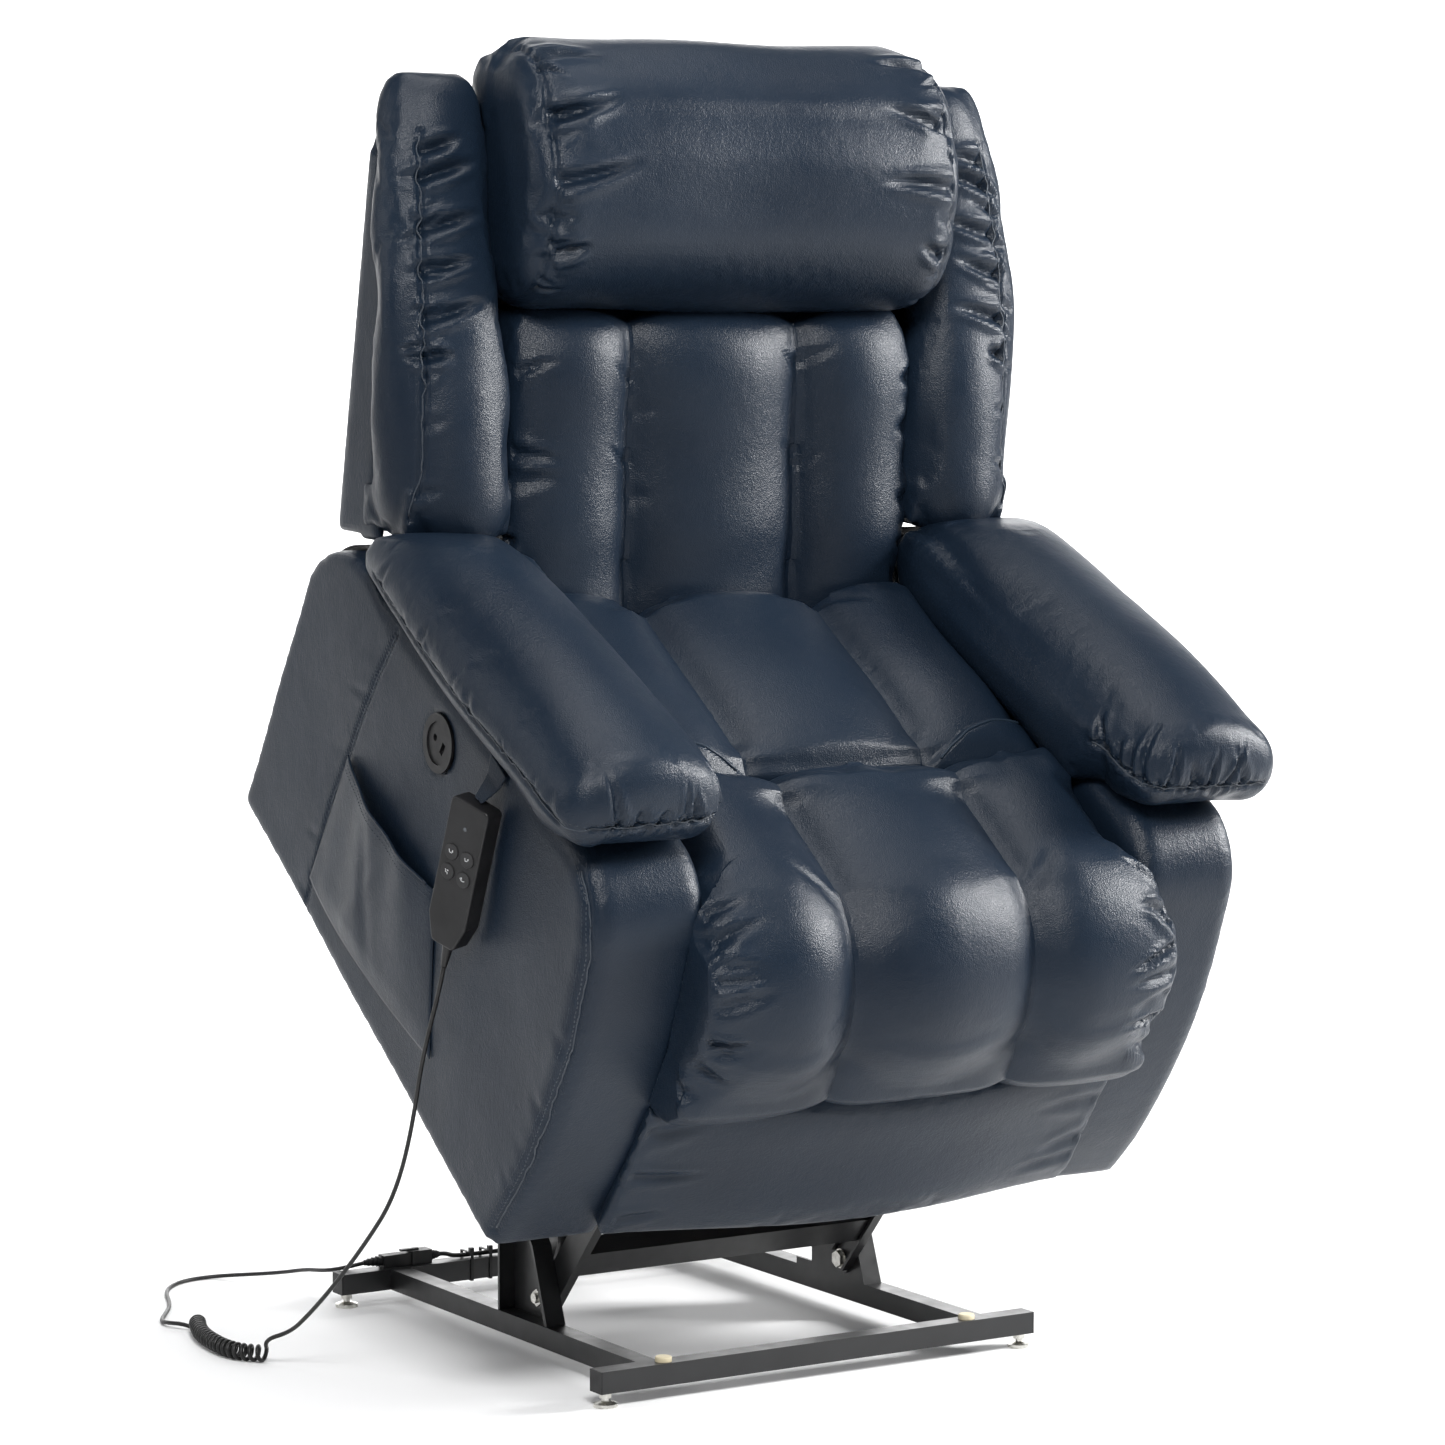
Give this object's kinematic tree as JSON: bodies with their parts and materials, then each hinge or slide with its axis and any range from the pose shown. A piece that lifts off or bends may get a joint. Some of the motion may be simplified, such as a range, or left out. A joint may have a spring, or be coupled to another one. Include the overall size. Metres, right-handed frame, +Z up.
{
  "type": "lift recliner chair",
  "caption": "Powered lift recliner chair raised on its scissor lift base, with padded arms, winged back, leg rest, side pocket and a corded handset.",
  "frame": {"origin": "middle of the footprint's bounding box, on the floor", "axes": "+Z up, -Y the way the sitter faces, +X to the sitter's left when seated"},
  "size_m": [1.0041, 1.1146, 1.5068],
  "materials": {
    "base_steel": "satin black powder coat",
    "zinc": "bright zinc plate",
    "leather": "dark navy faux leather with a fine grain",
    "lining": "black woven lining",
    "wood": "bare plywood",
    "motor_plastic": "fine-textured black plastic",
    "black_plastic": "matte black plastic",
    "button_plastic": "matte dark grey plastic",
    "cord_rubber": "matte black",
    "bumper_rubber": "cream",
    "circuit_board": "green solder mask",
    "lens": "clear green"
  },
  "bodies": {
    "base": {"base_front_tube": "base_steel", "base_rear_tube": "base_steel", "base_side_rails": "base_steel", "tube_end_caps": "black_plastic", "levelling_feet": "zinc", "floor_bumpers": "bumper_rubber", "pivot_brackets": "base_steel", "base_pivot_bolts": "zinc", "motor_bracket": "base_steel", "cord_connector": "black_plastic", "connector_boots": "cord_rubber", "cable_ties": "black_plastic", "cord_drop": "cord_rubber", "cord_curl": "cord_rubber", "cord_tail": "cord_rubber", "motor_lead": "cord_rubber"},
    "lift_arms": {"lift_arms": "base_steel", "lift_cross_beam": "base_steel"},
    "upper_links": {"upper_links": "base_steel"},
    "lift_motor": {"lift_motor": "motor_plastic"},
    "lift_rod": {"lift_motor_rod": "zinc"},
    "seat_frame": {"mechanism_plates": "base_steel", "mechanism_posts": "base_steel", "mechanism_cross_tubes": "base_steel", "frame_pivot_pins": "zinc", "seat_rails": "wood", "seat_springs": "zinc", "side_panel_left": "leather", "side_panel_right": "leather", "arm_pad_left": "leather", "arm_pad_right": "leather", "seat_cushion": "leather", "seat_front_pad": "leather", "knee_roll": "leather", "side_pocket": "leather", "power_outlet": "black_plastic", "handset_strap": "leather"},
    "backrest": {"back_cushion": "leather", "back_frame": "wood", "back_hinge_plates": "base_steel", "back_lever": "base_steel", "back_shell": "leather", "back_lining": "lining", "head_pillow": "leather", "wing_left": "leather", "wing_right": "leather"},
    "recline_motor": {"recline_motor": "motor_plastic"},
    "recline_rod": {"recline_motor_rod": "zinc"},
    "footrest": {"footrest_arms": "base_steel", "footrest_board": "leather", "leg_pad": "leather"},
    "handset": {"handset_front": "black_plastic", "handset_rear": "black_plastic", "handset_board": "circuit_board", "indicator_lens": "lens", "handset_boot": "cord_rubber"},
    "button_lift": {"button_lift": "button_plastic"},
    "button_lower": {"button_lower": "button_plastic"},
    "button_recline": {"button_recline": "button_plastic"},
    "button_return": {"button_return": "button_plastic"}
  },
  "joints": [
    {"name": "lift", "type": "hinge", "parent": "base", "child": "lift_arms", "pos_m": [0, 0.0877, 0.067], "axis": [-1, 0, 0], "range_deg": [-47.95, 0], "deforming": ["cord_drop"]},
    {"name": "seat_tilt", "type": "hinge", "parent": "lift_arms", "child": "seat_frame", "pos_m": [0, -0.09622, 0.27198], "axis": [1, 0, 0], "range_deg": [-84.43, 0]},
    {"name": "upper_link_swing", "type": "hinge", "parent": "base", "child": "upper_links", "pos_m": [0, 0.1377, 0.15], "axis": [-1, 0, 0], "range_deg": [-48.33, 0]},
    {"name": "lift_motor_swing", "type": "hinge", "parent": "base", "child": "lift_motor", "pos_m": [0, 0.4077, 0.07], "axis": [-1, 0, 0], "range_deg": [-29, 0], "deforming": ["motor_lead"]},
    {"name": "lift_rod_slide", "type": "slide", "parent": "lift_motor", "child": "lift_rod", "axis": [0, -0.815, 0.5795], "range_m": [-0.06336, 0]},
    {"name": "recline", "type": "hinge", "parent": "seat_frame", "child": "backrest", "pos_m": [0, 0.17056, 0.81266], "axis": [-1, 0, 0], "range_deg": [0, 35]},
    {"name": "recline_motor_swing", "type": "hinge", "parent": "seat_frame", "child": "recline_motor", "pos_m": [0, -0.07846, 0.46241], "axis": [1, 0, 0], "range_deg": [0, 9.13]},
    {"name": "recline_rod_slide", "type": "slide", "parent": "recline_motor", "child": "recline_rod", "axis": [0, 0.798, 0.6026], "range_m": [-0.06329, 0]},
    {"name": "footrest", "type": "hinge", "parent": "seat_frame", "child": "footrest", "pos_m": [0, -0.31475, 0.49365], "axis": [-1, 0, 0], "range_deg": [0, 78], "deforming": ["knee_roll"]},
    {"name": "handset_swing", "type": "hinge", "parent": "seat_frame", "child": "handset", "pos_m": [-0.44601, -0.19026, 0.67893], "axis": [-1, 0, 0], "range_deg": [-13.6, 0]},
    {"name": "press_lift", "type": "slide", "parent": "handset", "child": "button_lift", "axis": [0.9397, 0.3153, 0.1324], "range_m": [0, 0.001], "stiffness_N_per_m": 900, "springref_m": -0.0006},
    {"name": "press_lower", "type": "slide", "parent": "handset", "child": "button_lower", "axis": [0.9397, 0.3153, 0.1324], "range_m": [0, 0.001], "stiffness_N_per_m": 900, "springref_m": -0.0006},
    {"name": "press_recline", "type": "slide", "parent": "handset", "child": "button_recline", "axis": [0.9397, 0.3153, 0.1324], "range_m": [0, 0.001], "stiffness_N_per_m": 900, "springref_m": -0.0006},
    {"name": "press_return", "type": "slide", "parent": "handset", "child": "button_return", "axis": [0.9397, 0.3153, 0.1324], "range_m": [0, 0.001], "stiffness_N_per_m": 900, "springref_m": -0.0006}
  ],
  "couplings": [
    {"joint": "seat_tilt", "follows": "lift", "ratio": 1.7566},
    {"joint": "upper_link_swing", "follows": "lift", "ratio": 1.0037},
    {"joint": "lift_motor_swing", "follows": "lift", "ratio": 0.60058},
    {"joint": "lift_rod_slide", "follows": "lift", "m_per_rad": 0.075345},
    {"joint": "handset_swing", "follows": "lift", "ratio": 0.28152},
    {"joint": "recline_motor_swing", "follows": "recline", "ratio": 0.25521},
    {"joint": "recline_rod_slide", "follows": "recline", "m_per_rad": -0.10312}
  ]
}
